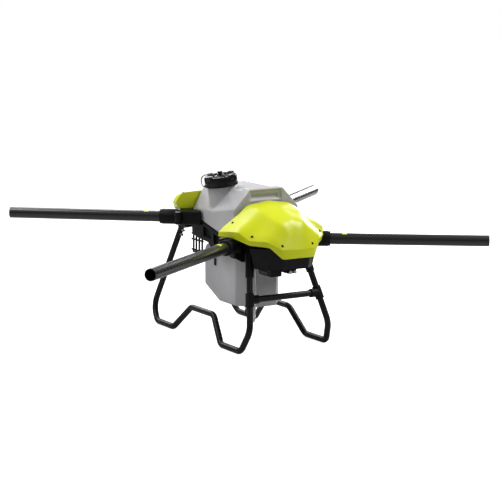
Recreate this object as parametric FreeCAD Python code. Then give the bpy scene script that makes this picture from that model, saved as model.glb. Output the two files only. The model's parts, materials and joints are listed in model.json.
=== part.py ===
import FreeCAD, Part
import math
import os

from FreeCAD import Placement, Rotation, Vector

# Spray drone airframe with a drop-in tank, millimetres, +Z up, nose towards -Y.
# The origin is on the ground, at the middle of the outer box.

# ---- arms ----
TUBE_R, TUBE_WALL, TUBE_REACH = 20.0, 2.0, 553.0
SLEEVE_R, SLEEVE_LEN, SLEEVE_LIP = 27.5, 65.7, 10.0
HUB_R, FLANGE_R = 22.8, 26.0
HINGE_S = -72.0             # fold plane, measured along the arm from the sleeve's outer end
PIN_SIDE = 40.0             # the fold pin stands this far beside the tube's centre line
PIN_R, KNUCKLE_R, KNUCKLE_HALF = 6.0, 11.5, 11.7
LUG_LOW, LUG_HIGH = 12.0, 20.0
BRACKET_HALF_W, BRACKET_HALF_H = 29.0, 26.0
JOINT_GAP = 0.3
ARM_ENDS = {                # outer end of the sleeve on the right, sweep angle, fore or aft
    "front": (Vector(215.8, -223.2, 363.9), 35.3, -1),
    "rear": (Vector(238.9, 186.3, 424.8), 40.2, 1),
}
MARK_S, MARK_LEN, MARK_ANGLE, MARK_T = 41.5, 17.0, 64.0, 0.6

# ---- landing gear ----
LEG_R, LEG_WALL = 11.0, 1.5
LEG_FOOT_X, LEG_LEAN = 175.0, 0.2035        # half track at the feet, lean inwards per mm of height
LEG_PATH = [                                # (y, z) corners of one bent frame and each bend's radius
    (-209.4, 340.0, 0), (-298.6, 84.7, 60), (-264.2, 11.0, 30), (-132.3, 11.0, 30), (-52.3, 99.9, 34),
    (105.0, 99.9, 34), (206.0, 11.0, 34), (329.8, 11.0, 34), (377.3, 60.5, 70), (266.9, 388.0, 0),
]
CROSS_Z = 186.0
TEE_R, TEE_LEN, TEE_STUB = 15.0, 46.0, 34.0

# ---- frame ----
BEAM_IN, BEAM_OUT, PAD_T = 106.0, 134.0, 3.0
BEAM_LOW_Z = 310.0
ARCH_Y, ARCH_TOP_Z, ARCH_R = -75.0, 322.0, 135.0        # shallow arch under each beam
BULKHEAD_FRONT_Y, BULKHEAD_REAR_Y, BULKHEAD_T = -152.0, 142.0, 4.0
SADDLE_Z, SADDLE_SLOPE = 395.0, 0.2407      # height of the beam tops at y = 0, and their rise per mm
SHEET = 3.0
SHELL_FLOOR_Z, SHELL_NOTCH_X = 290.0, 90.0
GUIDE_X, GUIDE_Y, GUIDE_LOW_Z = 92.5, 46.7, 255.0       # fingers beside the tank's narrow part

# ---- tank ----
TANK_HALF, TANK_FRONT_Y, TANK_REAR_Y, TANK_TOP_Z = 130.0, -146.0, 138.0, 538.0
TANK_WALL = 3.5
WELL_HALF, WELL_BOTTOM_Z = 90.0, 129.0      # the narrow part that hangs between the side beams
GRIP_TOP_Z, GRIP_HALF, GRIP_DEEP = 546.0, 77.0, 7.0      # raised grip along the front edge, finger recess
CAP_AT, CAP_LEAN = Vector(-84.0, 20.0, 545.0), 8.0      # foot of the cap, lean towards the left
CAP_R, CAP_H, NECK_R, NECK_BORE_R = 58.0, 36.0, 49.0, 44.0
CAP_LUGS, CAP_LUG_TURN, CAP_LUG_HALF = 4, 14.0, 9.5
NECK_LOW, NECK_HIGH = -78.0, 22.0           # the neck runs down into the sloped roof, along the cap's axis
OUTLET = Vector(-48.0, -110.0, 129.0)       # the tank's outlet, and the socket that it plugs into
HOSE_R = 6.5
HOSE_TOP = Vector(-66.0, -172.0, 290.0)

# ---- covers: columns from the wing tip round to the nose, right half ----
COVER_WALL = 3.0
# each column: lip edge, crease above the lip, point on the ridge, bulge of the shoulder
FRONT_COVER = [
    ((203, -160, 396), (201, -160, 411), (0, -151, 504), 27),
    ((178, -205, 394), (185, -203, 415), (0, -188, 497), 26),
    ((166, -242, 386), (171, -240, 415), (0, -225, 489), 22),
    ((145, -273, 374), (150, -274, 391), (0, -262, 477), 22),
    ((98, -322, 368), (105, -321, 387), (0, -298, 459), 16),
    ((62, -348, 331.5), (63, -348, 362), (0, -320, 435), 8),
    ((0, -352, 331.5), (0, -352, 360), (0, -335, 402), 0),
]
REAR_COVER = [
    ((188, 143, 454), (200, 141, 478), (0, 141, 516), 25),
    ((180, 176, 454), (189, 176, 475), (0, 180, 513), 23),
    ((166, 214, 446), (172, 214, 470), (0, 215, 506), 20),
    ((142, 246, 438), (147, 246, 461), (0, 250, 496), 16),
    ((104, 288, 429), (109, 287, 453), (0, 283, 480), 10),
    ((60, 313, 412), (63, 309, 438), (0, 304, 464), 5),
    ((0, 315, 412), (0, 312, 436), (0, 310, 450), 0),
]
VENT = [(101, 155), (107, 150), (130, 176), (124, 181)]     # slot in the rear cover, seen from above
# across a column, from the crease (0) to the ridge (1), and how much of the bulge each point takes
FRONT_ACROSS = [(0.13, 0.30), (0.29, 0.48), (0.43, 0.70), (0.58, 1.0), (0.80, 0.50)]
REAR_ACROSS = [(0.05, 0.55), (0.13, 1.0), (0.35, 0.82), (0.60, 0.50), (0.80, 0.25)]

SIDES = (("left", -1), ("right", 1))


def save(name, *shapes):
    shape = shapes[0] if len(shapes) == 1 else Part.makeCompound(list(shapes))
    for solid in shape.Solids:
        if not solid.isValid():
            print("not valid:", name)
    shape.exportStep("parts/" + name + ".step")
    box = shape.BoundBox
    print("%-28s %2d solids  x %7.1f %7.1f  y %7.1f %7.1f  z %6.1f %6.1f" % (
        name, len(shape.Solids), box.XMin, box.XMax, box.YMin, box.YMax, box.ZMin, box.ZMax))
    return shape


def block(x0, x1, y0, y1, z0, z1):
    return Part.makeBox(x1 - x0, y1 - y0, z1 - z0, Vector(x0, y0, z0))


def rod(start, end, radius):
    axis = end - start
    return Part.makeCylinder(radius, axis.Length, start, axis)


def prism(points, run):
    wire = Part.makePolygon(points + [points[0]])
    return Part.Face(wire).extrude(run)


def plate_xy(points, z0, z1):
    return prism([Vector(x, y, z0) for x, y in points], Vector(0, 0, z1 - z0))


def plate_yz(points, x0, x1):
    return prism([Vector(x0, y, z) for y, z in points], Vector(x1 - x0, 0, 0))


def plate_xz(points, y0, y1):
    return prism([Vector(x, y0, z) for x, z in points], Vector(0, y1 - y0, 0))


def mirrored(shape):
    return shape.mirror(Vector(0, 0, 0), Vector(1, 0, 0))


def fuse(shapes):
    return shapes[0].fuse(shapes[1:]).removeSplitter()


def rounded(shape, radius, wanted):
    edges = [edge for edge in shape.Edges if wanted(edge)]
    return shape.makeFillet(radius, edges) if edges else shape


def vertical(edge):
    box = edge.BoundBox
    return box.ZLength > 5 and box.XLength < 0.01 and box.YLength < 0.01


# ---------------------------------------------------------------- arms
def arm_frames():
    """Each arm's name, placement and the distance in the arm's own Y at which its pin stands."""
    for end, (corner, sweep, aft) in ARM_ENDS.items():
        for side, sign in SIDES:
            turn = math.degrees(math.atan2(aft * math.sin(math.radians(sweep)),
                                           sign * math.cos(math.radians(sweep))))
            place = Placement(Vector(sign * corner.x, corner.y, corner.z),
                              Rotation(Vector(0, 0, 1), turn))
            pin = PIN_SIDE * (-aft * sign)
            yield end + "_" + side, place, pin


def placed(shape, place):
    shape = shape.copy()
    shape.Placement = place.multiply(shape.Placement)
    return shape


def along(s0, s1, radius):
    return Part.makeCylinder(radius, s1 - s0, Vector(s0, 0, 0), Vector(1, 0, 0))


def upright(s, side, z0, z1, radius):
    return Part.makeCylinder(radius, z1 - z0, Vector(s, side, z0))


def strip_to_pin(pin, s0, s1, z0, z1, inner):
    low, high = sorted((math.copysign(inner, pin), pin))
    return block(s0, s1, low, high, z0, z1)


def arm_tube():
    start = HINGE_S + 10
    return along(start, TUBE_REACH, TUBE_R).cut(along(start, TUBE_REACH, TUBE_R - TUBE_WALL))


def arm_sleeve():
    body = along(-SLEEVE_LEN, 0, SLEEVE_R)
    body = body.makeChamfer(1.5, [edge for edge in body.Edges if edge.Curve.TypeId == "Part::GeomCircle"])
    body = body.cut(along(-SLEEVE_LEN, -SLEEVE_LIP, HUB_R + 0.4))
    return body.cut(along(-SLEEVE_LIP - 1, 1, TUBE_R + 0.4))


def arm_flange(pin):
    """The moving half of a fold joint: a hub on the tube, a face plate and a knuckle on the pin."""
    face = HINGE_S + 5.7
    body = fuse([
        along(HINGE_S, face, FLANGE_R),
        along(face, -SLEEVE_LIP - 4, HUB_R),
        strip_to_pin(pin, HINGE_S, face, -KNUCKLE_HALF, KNUCKLE_HALF, 14),
        upright(HINGE_S, pin, -KNUCKLE_HALF, KNUCKLE_HALF, KNUCKLE_R),
    ])
    body = body.cut(along(HINGE_S + 10, 0, TUBE_R))
    return body.cut(upright(HINGE_S, pin, -20, 20, PIN_R + 0.05))


def arm_bracket(pin):
    """The fixed half: a block on the frame with two lugs that hold the pin."""
    face = HINGE_S - JOINT_GAP
    body = block(face - 78, face, -BRACKET_HALF_W, BRACKET_HALF_W, -BRACKET_HALF_H, BRACKET_HALF_H)
    body = rounded(body, 9, lambda edge: edge.BoundBox.XLength > 50)
    lugs = []
    for z0, z1 in ((LUG_LOW, LUG_HIGH), (-LUG_HIGH, -LUG_LOW)):
        lugs.append(strip_to_pin(pin, HINGE_S - 11, face, z0, z1, 14))
        lugs.append(upright(HINGE_S, pin, z0, z1, KNUCKLE_R))
    body = fuse([body] + lugs)
    body = body.cut(upright(HINGE_S, pin, -LUG_LOW, LUG_LOW, KNUCKLE_R + 0.8))
    return body.cut(upright(HINGE_S, pin, -40, 40, PIN_R))


def hinge_pin(pin):
    head = LUG_HIGH + 3
    return fuse([
        upright(HINGE_S, pin, -head, head, PIN_R),
        upright(HINGE_S, pin, LUG_HIGH, head, PIN_R + 3),
        upright(HINGE_S, pin, -head, -LUG_HIGH, PIN_R + 3),
    ])


def arm_mark():
    ring = along(MARK_S, MARK_S + MARK_LEN, TUBE_R + MARK_T).cut(along(MARK_S, MARK_S + MARK_LEN, TUBE_R))
    half = math.radians(MARK_ANGLE / 2)
    reach = 2 * TUBE_R
    wedge = prism([Vector(MARK_S, 0, 0),
                   Vector(MARK_S, -reach * math.sin(half), reach * math.cos(half)),
                   Vector(MARK_S, reach * math.sin(half), reach * math.cos(half))], Vector(MARK_LEN, 0, 0))
    return ring.common(wedge)


def make_arms():
    pins = []
    for name, place, pin in arm_frames():
        save("arm_tube_" + name, placed(arm_tube(), place))
        save("locking_sleeve_" + name, placed(arm_sleeve(), place))
        save("arm_flange_" + name, placed(arm_flange(pin), place))
        save("arm_mark_" + name, placed(arm_mark(), place))
        inside = block(-BEAM_OUT, BEAM_OUT, -400, 400, 0, 600)
        save("arm_bracket_" + name, placed(arm_bracket(pin), place).cut(inside))
        pins.append(placed(hinge_pin(pin), place))
    save("hinge_pins", *pins)


# ---------------------------------------------------------------- landing gear
def leg_x(z):
    return LEG_FOOT_X - LEG_LEAN * (z - LEG_R)


def tube_face(at, direction, radius, bore):
    outer = Part.Wire(Part.Circle(at, direction, radius).toShape())
    inner = Part.Wire(Part.Circle(at, direction, bore).toShape())
    return Part.Face(outer).cut(Part.Face(inner))


def bent_tube(points, bends, radius, bore):
    """A hollow tube through the points: straight runs joined by a tangent bend at each inner point."""
    pieces = []
    at = points[0]
    for i, bend in enumerate(bends, 1):
        back = (points[i - 1] - points[i]).normalize()
        on = (points[i + 1] - points[i]).normalize()
        half = math.acos(back.dot(on)) / 2
        start = points[i] + back * (bend / math.tan(half))
        centre = points[i] + (back + on).normalize() * (bend / math.sin(half))
        pieces.append(tube_face(at, start - at, radius, bore).extrude(start - at))
        turn = math.degrees(math.pi - 2 * half)
        pieces.append(tube_face(start, back, radius, bore).revolve(centre, on.cross(back), turn))
        at = points[i] + on * (bend / math.tan(half))
    pieces.append(tube_face(at, points[-1] - at, radius, bore).extrude(points[-1] - at))
    return fuse(pieces)


def leg_point(z, front=True):
    """The point at height z on the straight upper part of the right frame's front or rear leg."""
    ends = LEG_PATH[:2] if front else LEG_PATH[-2:]
    (y0, z0, _), (y1, z1, _) = ends
    return Vector(leg_x(z), y0 + (y1 - y0) * (z - z0) / (z1 - z0), z)


def make_landing_gear():
    points = [Vector(leg_x(z), y, z) for y, z, bend in LEG_PATH]
    bends = [bend for y, z, bend in LEG_PATH[1:-1]]
    frame = bent_tube(points, bends, LEG_R, LEG_R - LEG_WALL)
    save("landing_frame_right", frame)
    save("landing_frame_left", mirrored(frame))
    here = leg_point(CROSS_Z)
    up = (leg_point(CROSS_Z + 50) - here).normalize()
    end = Vector(here.x - LEG_R - 3, here.y, here.z)
    bar = rod(Vector(-end.x, end.y, end.z), end, LEG_R)
    sleeve = rod(here - up * TEE_LEN / 2, here + up * TEE_LEN / 2, TEE_R)
    stub = rod(here - Vector(TEE_STUB, 0, 0), here, TEE_R)
    tee = sleeve.fuse(stub).cut(rod(here - up * TEE_LEN, here + up * TEE_LEN, LEG_R)).cut(bar)
    save("cross_tube", bar.cut(rod(Vector(-end.x, end.y, end.z), end, LEG_R - LEG_WALL)))
    save("cross_tube_tees", tee, mirrored(tee))
    make_leg_clamps()


def leg_core(low, high, front):
    return rod(leg_point(low, front), leg_point(high, front), LEG_R)


def make_leg_clamps():
    """Front legs end in sockets in the front shell, rear legs in clamps with a round boss."""
    socket = rod(leg_point(258), leg_point(337), 14.5)
    socket = fuse([socket, block(SHELL_NOTCH_X, 108, -236, -212, 306, 334)])
    socket = socket.cut(leg_core(250, 345, True))
    boss_y, boss_z, boss_r = 240.0, 391.0, 22.0
    clamp = plate_yz([(222, 372), (250, 364), (286, 366), (286, 404), (276, 412), (222, 412)], 86, 112)
    boss = rod(Vector(86, boss_y, boss_z), Vector(118, boss_y, boss_z), boss_r)
    clamp = fuse([clamp, boss]).cut(leg_core(330, 392, False))
    for side, flip in (("right", lambda shape: shape), ("left", mirrored)):
        save("front_leg_socket_" + side, flip(socket))
        save("rear_leg_clamp_" + side, flip(clamp))
    bolts = []
    for z in (338, 354):
        here = leg_point(z, False)
        bolt = rod(here - Vector(0, LEG_R + 15, 0), here - Vector(0, LEG_R + 2, 0), 4.5)
        bolts += [bolt, mirrored(bolt)]
    save("leg_clamp_bolts", *bolts)


# ---------------------------------------------------------------- frame
def saddle(y):
    return SADDLE_Z + SADDLE_SLOPE * y


def make_beams():
    front, rear = BULKHEAD_FRONT_Y, BULKHEAD_REAR_Y
    outline = [(front, saddle(front) - PAD_T), (rear, saddle(rear) - PAD_T), (rear, 362), (110, 352),
               (28, 343), (-12, BEAM_LOW_Z), (front, BEAM_LOW_Z)]
    arch = rod(Vector(BEAM_IN - 1, ARCH_Y, ARCH_TOP_Z - ARCH_R),
               Vector(BEAM_OUT + 1, ARCH_Y, ARCH_TOP_Z - ARCH_R), ARCH_R)
    beam = plate_yz(outline, BEAM_IN, BEAM_OUT).cut(arch)
    pockets = [
        plate_yz([(-138, 332), (-26, 332), (-10, 348), (-10, 380), (-138, 350)], BEAM_OUT - 10, BEAM_OUT),
        plate_yz([(6, 356), (62, 363), (62, 398), (6, 384)], BEAM_OUT - 10, BEAM_OUT),
    ]
    for pocket in pockets:
        beam = beam.cut(pocket)
    guide = block(GUIDE_X, GUIDE_X + 4, GUIDE_Y - 4.5, GUIDE_Y + 4.5, GUIDE_LOW_Z, 356)
    arm = block(GUIDE_X, BEAM_IN + 2, GUIDE_Y - 4.5, GUIDE_Y + 4.5, 348.5, 356)
    beam = beam.fuse([guide, arm]).removeSplitter()
    save("side_beam_right", beam)
    save("side_beam_left", mirrored(beam))
    pad = plate_yz([(-130, saddle(-130) - PAD_T), (130, saddle(130) - PAD_T), (130, saddle(130)),
                    (-130, saddle(-130))], BEAM_IN + 2, BEAM_OUT - 5)
    save("saddle_pads", pad, mirrored(pad))
    front_plate = plate_xz([(-132, 312), (-104, 297), (104, 297), (132, 312), (132, 356), (96, 392),
                            (-96, 392), (-132, 356)],
                           BULKHEAD_FRONT_Y - BULKHEAD_T, BULKHEAD_FRONT_Y)
    save("front_bulkhead", front_plate)
    rear_plate = plate_xz([(-132, 366), (132, 366), (132, 448), (-132, 448)],
                          BULKHEAD_REAR_Y, BULKHEAD_REAR_Y + BULKHEAD_T)
    save("rear_bulkhead", rear_plate)


def outline_wire(half, z, inset):
    """A closed outline at height z from the points of its right half, drawn in by the inset."""
    loop = half + [(-x, y) for x, y in reversed(half)]
    wire = Part.makePolygon([Vector(x, y, z) for x, y in loop + [loop[0]]])
    return wire if inset == 0 else Part.Face(wire).makeOffset2D(-inset).OuterWire


def tray(low, high, z0, z1):
    """An open-topped tray with drawn-in sides, between a low and a high outline."""
    outer = Part.makeLoft([outline_wire(low, z0, 0), outline_wire(high, z1, 0)], True, True)
    inner = Part.makeLoft([outline_wire(low, z0 + SHEET, SHEET), outline_wire(high, z1 + 1, SHEET)],
                          True, True)
    return outer.cut(inner)


def make_shells():
    wall, notch = BULKHEAD_FRONT_Y - BULKHEAD_T, SHELL_NOTCH_X
    front = tray([(notch, wall), (notch, -242), (118, -256), (86, -304), (50, -332)],
                 [(notch, wall), (notch, -242), (141, -264), (92, -316), (54, -345)],
                 SHELL_FLOOR_Z, 362)
    save("front_lower_shell", front.cut(rod(HOSE_TOP - Vector(0, 0, 8), HOSE_TOP + Vector(0, 0, 8), 8)))
    wall = BULKHEAD_REAR_Y + BULKHEAD_T
    low = [(84, wall), (84, 262), (58, 296)]
    rear = tray(low, [(84, wall), (84, 262), (58, 302)], 368, 414)
    save("rear_shell", rear)


def lattice(x0, x1):
    """One side wall of the battery cage: upright bars between three rails."""
    rails = [block(x0, x1, 150, 236, z, z + 6) for z in (284, 322, 343)]
    bars = [block(x0, x1, y - 4.5, y + 4.5, 276, 366) for y in (159, 180, 201.5, 221.5)]
    return fuse(rails + bars)


def make_battery_cage():
    right = lattice(80, 84)
    save("battery_cage_side_right", right)
    save("battery_cage_side_left", mirrored(right))
    floor = block(-80, 80, 150, 236, 276, 280)
    slots = [block(-60 + 44 * i, -28 + 44 * i, 164, 222, 270, 290) for i in range(3)]
    for slot in slots:
        floor = floor.cut(slot)
    save("battery_cage_floor", floor)


# ---------------------------------------------------------------- covers
def cover_grid(columns, across):
    """Rows of points over the right half of a cover, lip edge first and ridge last."""
    grid = []
    for lip, crease, ridge, bulge in columns:
        low, high = Vector(*crease), Vector(*ridge)
        row = [Vector(*lip), low]
        for along_row, share in across:
            point = low + (high - low) * along_row
            row.append(point + Vector(0, 0, bulge * share))
        row.append(high)
        grid.append(row)
    return grid


def inward(grid, i, j):
    """The unit normal that points into the cover at a grid point."""
    rows, points = len(grid), len(grid[0])
    if j == points - 1:
        after = grid[i + 1][j] if i < rows - 1 else grid[i][j - 1]
        run = after - grid[max(i - 1, 0)][j]
        normal = Vector(0, run.z, -run.y)
    elif i == rows - 1:
        run = grid[i][j + 1] - grid[i][max(j - 1, 0)]
        normal = Vector(0, run.z, -run.y)
    else:
        one = grid[i + 1][j] - grid[max(i - 1, 0)][j]
        normal = one.cross(grid[i][j + 1] - grid[i][max(j - 1, 0)])
        if i == 0:
            normal = Vector(normal.x, 0, normal.z)
    middle = Vector(0, grid[0][0].y, grid[0][0].z - 40)
    if normal.dot(middle - grid[i][j]) < 0:
        normal = normal * -1
    return normal.normalize()


def cover(columns, across):
    grid = cover_grid(columns, across)
    inner = [[point + inward(grid, i, j) * COVER_WALL for j, point in enumerate(row)]
             for i, row in enumerate(grid)]
    rows, points = len(grid), len(grid[0])
    faces = []

    def add(*corners):
        for x_sign in (1, -1):
            a, b, c, d = [Vector(x_sign * point.x, point.y, point.z) for point in corners]
            for three in ((a, b, c), (a, c, d)):
                if (three[1] - three[0]).cross(three[2] - three[0]).Length > 1e-6:
                    faces.append(Part.Face(Part.makePolygon(list(three) + [three[0]])))

    for i in range(rows - 1):
        for j in range(points - 1):
            add(grid[i][j], grid[i + 1][j], grid[i + 1][j + 1], grid[i][j + 1])
            add(inner[i][j], inner[i + 1][j], inner[i + 1][j + 1], inner[i][j + 1])
        add(grid[i][0], grid[i + 1][0], inner[i + 1][0], inner[i][0])
    for j in range(points - 1):
        add(grid[0][j], grid[0][j + 1], inner[0][j + 1], inner[0][j])
    shell = Part.makeShell(faces)
    shell.sewShape()
    solid = Part.Solid(shell)
    if solid.Volume < 0:
        solid.reverse()
    return solid


def screw(shell, start, direction):
    """A screw driven into a cover where the line from start meets it."""
    axis = Vector(*direction).normalize()
    start = Vector(*start)
    hits = Part.makeLine(start, start - axis * 200).common(shell).Vertexes
    at = min((vertex.Point for vertex in hits), key=lambda point: (point - start).Length)
    return rod(at - axis * 9, at + axis * 1.2, 3.2)


def make_covers():
    front = cover(FRONT_COVER, FRONT_ACROSS)
    rim = [(point.x, point.z) for point in cover_grid(REAR_COVER, REAR_ACROSS)[0]]
    wall = plate_xz(rim + [(-x, z) for x, z in reversed(rim)], 141.2, 144.2)
    rear = cover(REAR_COVER, REAR_ACROSS).fuse(wall)
    vent = prism([Vector(x, y, 440) for x, y in VENT], Vector(0, 0, 90))
    rear = rear.cut(vent).cut(mirrored(vent))
    screws = {                      # a point outside the cover, and the way that the screw faces
        "front": [((176, -180, 482), (0.5, -0.1, 1)), ((163, -294, 447), (0.6, -0.5, 1)),
                  ((70, -390, 390), (0.2, -1, 0.3))],
        "rear": [((166, 175, 547), (0.3, 0.1, 1)), ((132, 288, 510), (0.5, 0.5, 1))],
    }
    for name, shell in (("front", front), ("rear", rear)):
        bodies = []
        for start, direction in screws[name]:
            one = screw(shell, start, direction)
            bodies += [one, mirrored(one)]
        for one in bodies:
            shell = shell.cut(one)
        save(name + "_cover", shell)
        save(name + "_cover_screws", *bodies)


# ---------------------------------------------------------------- tank
def roof_wire(y, side_z, top_half, inset):
    """The tank's cross-section at y: upright sides to side_z, then sloped up to a flat top."""
    half, top = TANK_HALF - inset, TANK_TOP_Z - inset
    shape = [(half, 300), (half, side_z), (top_half - inset / 2, top)]
    loop = [Vector(x, y, z) for x, z in shape + [(-x, z) for x, z in reversed(shape)]]
    return Part.makePolygon(loop + [loop[0]])


def tank_outer(inset):
    """The tank's outside, or its inside when inset by the wall."""
    half, well = TANK_HALF - inset, WELL_HALF - inset
    front, rear = TANK_FRONT_Y + inset, TANK_REAR_Y - inset
    base, rest = WELL_BOTTOM_Z + inset, SADDLE_Z + 0.5 + inset
    roof = Part.makeLoft([roof_wire(front, 480, 74, inset), roof_wire(0, 456, 80, inset),
                          roof_wire(rear, 456, 84, inset)], True, True)
    side = plate_yz([(front, rest + SADDLE_SLOPE * front), (rear, rest + SADDLE_SLOPE * rear),
                     (rear, TANK_TOP_Z), (front, TANK_TOP_Z)], -half, half)
    upper = side.common(roof)
    shoulder = 307 - inset
    plan = [(well, -85), (well, rear - 12), (well - 12, rear), (12 - well, rear), (-well, rear - 12),
            (-well, -85), (inset - 42, front), (42 - inset, front)]
    lower = plate_xy(plan, base, 450)
    lower = lower.common(plate_yz([(front, base), (25, base), (rear - 10, base + 48), (rear, base + 60),
                                   (rear, shoulder - 8), (rear - 20, shoulder + 14), (78, shoulder + 33),
                                   (78, 450), (front, 450)], -half, half))
    return upper.fuse(lower).removeSplitter()


def cap_place():
    return Placement(CAP_AT, Rotation(Vector(0, 1, 0), -CAP_LEAN))


def turned(radius, z0, z1):
    return placed(Part.makeCylinder(radius, z1 - z0, Vector(0, 0, z0)), cap_place())


def make_tank():
    outer = tank_outer(0)
    grip = plate_xz([(-GRIP_HALF, 500), (GRIP_HALF, 500), (GRIP_HALF, 534), (GRIP_HALF - 9, GRIP_TOP_Z),
                     (9 - GRIP_HALF, GRIP_TOP_Z), (-GRIP_HALF, 534)], TANK_FRONT_Y, TANK_FRONT_Y + 46)
    fingers = block(9 - GRIP_HALF, GRIP_HALF - 17, TANK_FRONT_Y - 1, TANK_FRONT_Y + GRIP_DEEP, 509, 538)
    behind = block(-GRIP_HALF, GRIP_HALF, TANK_FRONT_Y, TANK_FRONT_Y + GRIP_DEEP + TANK_WALL, 500, 545)
    outer = fuse([outer, grip, turned(NECK_R, NECK_LOW, NECK_HIGH)]).cut(fingers)
    inner = tank_outer(TANK_WALL).cut(behind)
    body = outer.cut(inner).cut(turned(NECK_BORE_R, NECK_LOW + 6, NECK_HIGH + 1))
    body = body.cut(rod(OUTLET - Vector(0, 0, 5), OUTLET + Vector(0, 0, 5), 8))
    save("tank", body)
    spigot = fuse([rod(OUTLET - Vector(0, 0, 4), OUTLET, 16), rod(OUTLET - Vector(0, 0, 24), OUTLET, 9),
                   rod(OUTLET, OUTLET + Vector(0, 0, 6), 8)])
    save("tank_outlet", spigot.cut(rod(OUTLET - Vector(0, 0, 30), OUTLET + Vector(0, 0, 10), 5.5)))


def make_cap():
    top = CAP_H
    shell = turned(CAP_R, 6.4, top).cut(turned(NECK_R + 0.5, 0, 26))
    shell = shell.makeChamfer(2, [edge for edge in shell.Edges if edge.Length > 2 * math.pi * (CAP_R - 1)
                                  and cap_place().inverse().multVec(edge.CenterOfMass).z > top - 1])
    pieces = [shell]
    for k in range(CAP_LUGS):
        lug = block(CAP_R - 12, CAP_R + 2.0, -CAP_LUG_HALF, CAP_LUG_HALF, top - 14, top + 4)
        turn = Rotation(Vector(0, 0, 1), 360 / CAP_LUGS * k + CAP_LUG_TURN)
        lug = placed(lug, Placement(Vector(0, 0, 0), turn))
        pieces.append(placed(lug, cap_place()))
    pieces.append(turned(9, top - 1, top + 4))
    cap = fuse(pieces).cut(turned(NECK_R + 0.5, 0, 26))
    save("tank_cap", cap)
    save("cap_seal", turned(NECK_R - 0.5, 22.3, 25.7).cut(turned(NECK_BORE_R, 20, 30)))
    ring = turned(CAP_R + 2, 0, 6).cut(turned(NECK_R, -1, 8))
    save("neck_ring", ring.cut(tank_outer(0)))
    save("filler_strainer", turned(NECK_BORE_R - 0.6, -44, 21).cut(turned(NECK_BORE_R - 2.6, -42, 30)))
    save("cap_vent_plug", turned(6.5, top + 4, top + 13).fuse(turned(8.5, top + 8, top + 13)))


# ---------------------------------------------------------------- pump, hose and electronics
def make_pump():
    coupler_low, coupler_high = OUTLET - Vector(0, 0, 34), OUTLET - Vector(0, 0, 8)
    coupler = rod(coupler_low, coupler_high, 14).cut(rod(coupler_low + Vector(0, 0, 8), OUTLET, 9.4))
    save("quick_coupler", coupler.cut(rod(coupler_low - Vector(0, 0, 1), OUTLET, 4.5)))
    low = OUTLET.z - 44
    route = [HOSE_TOP + Vector(0, 0, 14), Vector(HOSE_TOP.x, HOSE_TOP.y, low),
             Vector(OUTLET.x, OUTLET.y, low), coupler_low]
    save("suction_hose", bent_tube(route, [24, 9], HOSE_R, HOSE_R - 2))
    motor = rod(Vector(-52, -262, 273), Vector(-52, -204, 273), 17)
    save("pump_motor", motor.fuse(block(-66, -38, -256, -212, 262, 289.9)))
    head = block(-72, -30, -292, -262, 262, 289.9)
    head = fuse([head, block(-28, 6, -328, -268, 276, 289.9), block(-34, -28, -290, -268, 276, 289.9)])
    save("pump_head", head)
    nuts = [rod(Vector(x, -334, 281), Vector(x, -328, 281), 5.5) for x in (-20, -2)]
    save("pump_fittings", *nuts)


def make_electronics():
    floor = SHELL_FLOOR_Z + SHEET
    tray_plate = block(-78, 78, -300, -170, 352, 355)
    for x in (-70, 64):
        for y in (-292, -192):
            tray_plate = tray_plate.fuse(block(x, x + 6, y, y + 6, floor, 352))
    save("avionics_tray", tray_plate.removeSplitter())
    controller = rounded(block(-34, 34, -262, -212, 355, 376), 3, vertical)
    save("flight_controller", controller)
    save("power_board", block(-60, 60, -300, -190, floor + 6, floor + 8).fuse(
        block(-60, -50, -250, -240, floor, floor + 6)).fuse(block(50, 60, -250, -240, floor, floor + 6)))
    plug = block(-26, 26, BULKHEAD_REAR_Y + BULKHEAD_T, 152, 340, 366)
    sockets = [block(-20, -4, 147, 153, 346, 360), block(4, 20, 147, 153, 346, 360)]
    save("battery_connector", plug.cut(sockets[0]).cut(sockets[1]))


def main():
    os.makedirs("parts", exist_ok=True)
    make_arms()
    make_landing_gear()
    make_beams()
    make_shells()
    make_battery_cage()
    make_covers()
    make_tank()
    make_cap()
    make_pump()
    make_electronics()


main()
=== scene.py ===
import json
import math

import bmesh
import bpy
import numpy as np
from mathutils import Matrix, Vector


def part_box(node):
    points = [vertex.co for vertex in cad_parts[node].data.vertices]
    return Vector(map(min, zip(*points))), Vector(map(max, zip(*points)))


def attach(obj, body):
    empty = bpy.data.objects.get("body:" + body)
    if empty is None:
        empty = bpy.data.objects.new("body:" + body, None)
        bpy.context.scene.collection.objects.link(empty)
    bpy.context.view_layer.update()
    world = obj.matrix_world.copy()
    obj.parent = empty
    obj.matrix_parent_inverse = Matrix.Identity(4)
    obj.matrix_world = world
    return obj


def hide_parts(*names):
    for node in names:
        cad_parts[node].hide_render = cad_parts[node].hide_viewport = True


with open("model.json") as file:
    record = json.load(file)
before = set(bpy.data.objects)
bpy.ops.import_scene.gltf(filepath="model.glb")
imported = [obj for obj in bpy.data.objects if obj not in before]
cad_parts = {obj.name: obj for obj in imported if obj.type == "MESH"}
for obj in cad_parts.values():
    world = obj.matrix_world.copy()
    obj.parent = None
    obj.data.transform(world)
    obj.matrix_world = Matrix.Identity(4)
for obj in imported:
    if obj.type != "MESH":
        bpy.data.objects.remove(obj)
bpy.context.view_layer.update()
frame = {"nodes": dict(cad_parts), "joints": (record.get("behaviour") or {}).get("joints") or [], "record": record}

MM = 0.001
NODES = frame["nodes"]
RECORD = frame["record"]
BODY_OF = {node: body for body, group in RECORD["behaviour"]["bodies"].items() for node in group}
SLOT_OF = {part["node"]: part["material_slot"] for part in RECORD["subparts"]}
UP = Vector((0, 0, 1))

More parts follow.
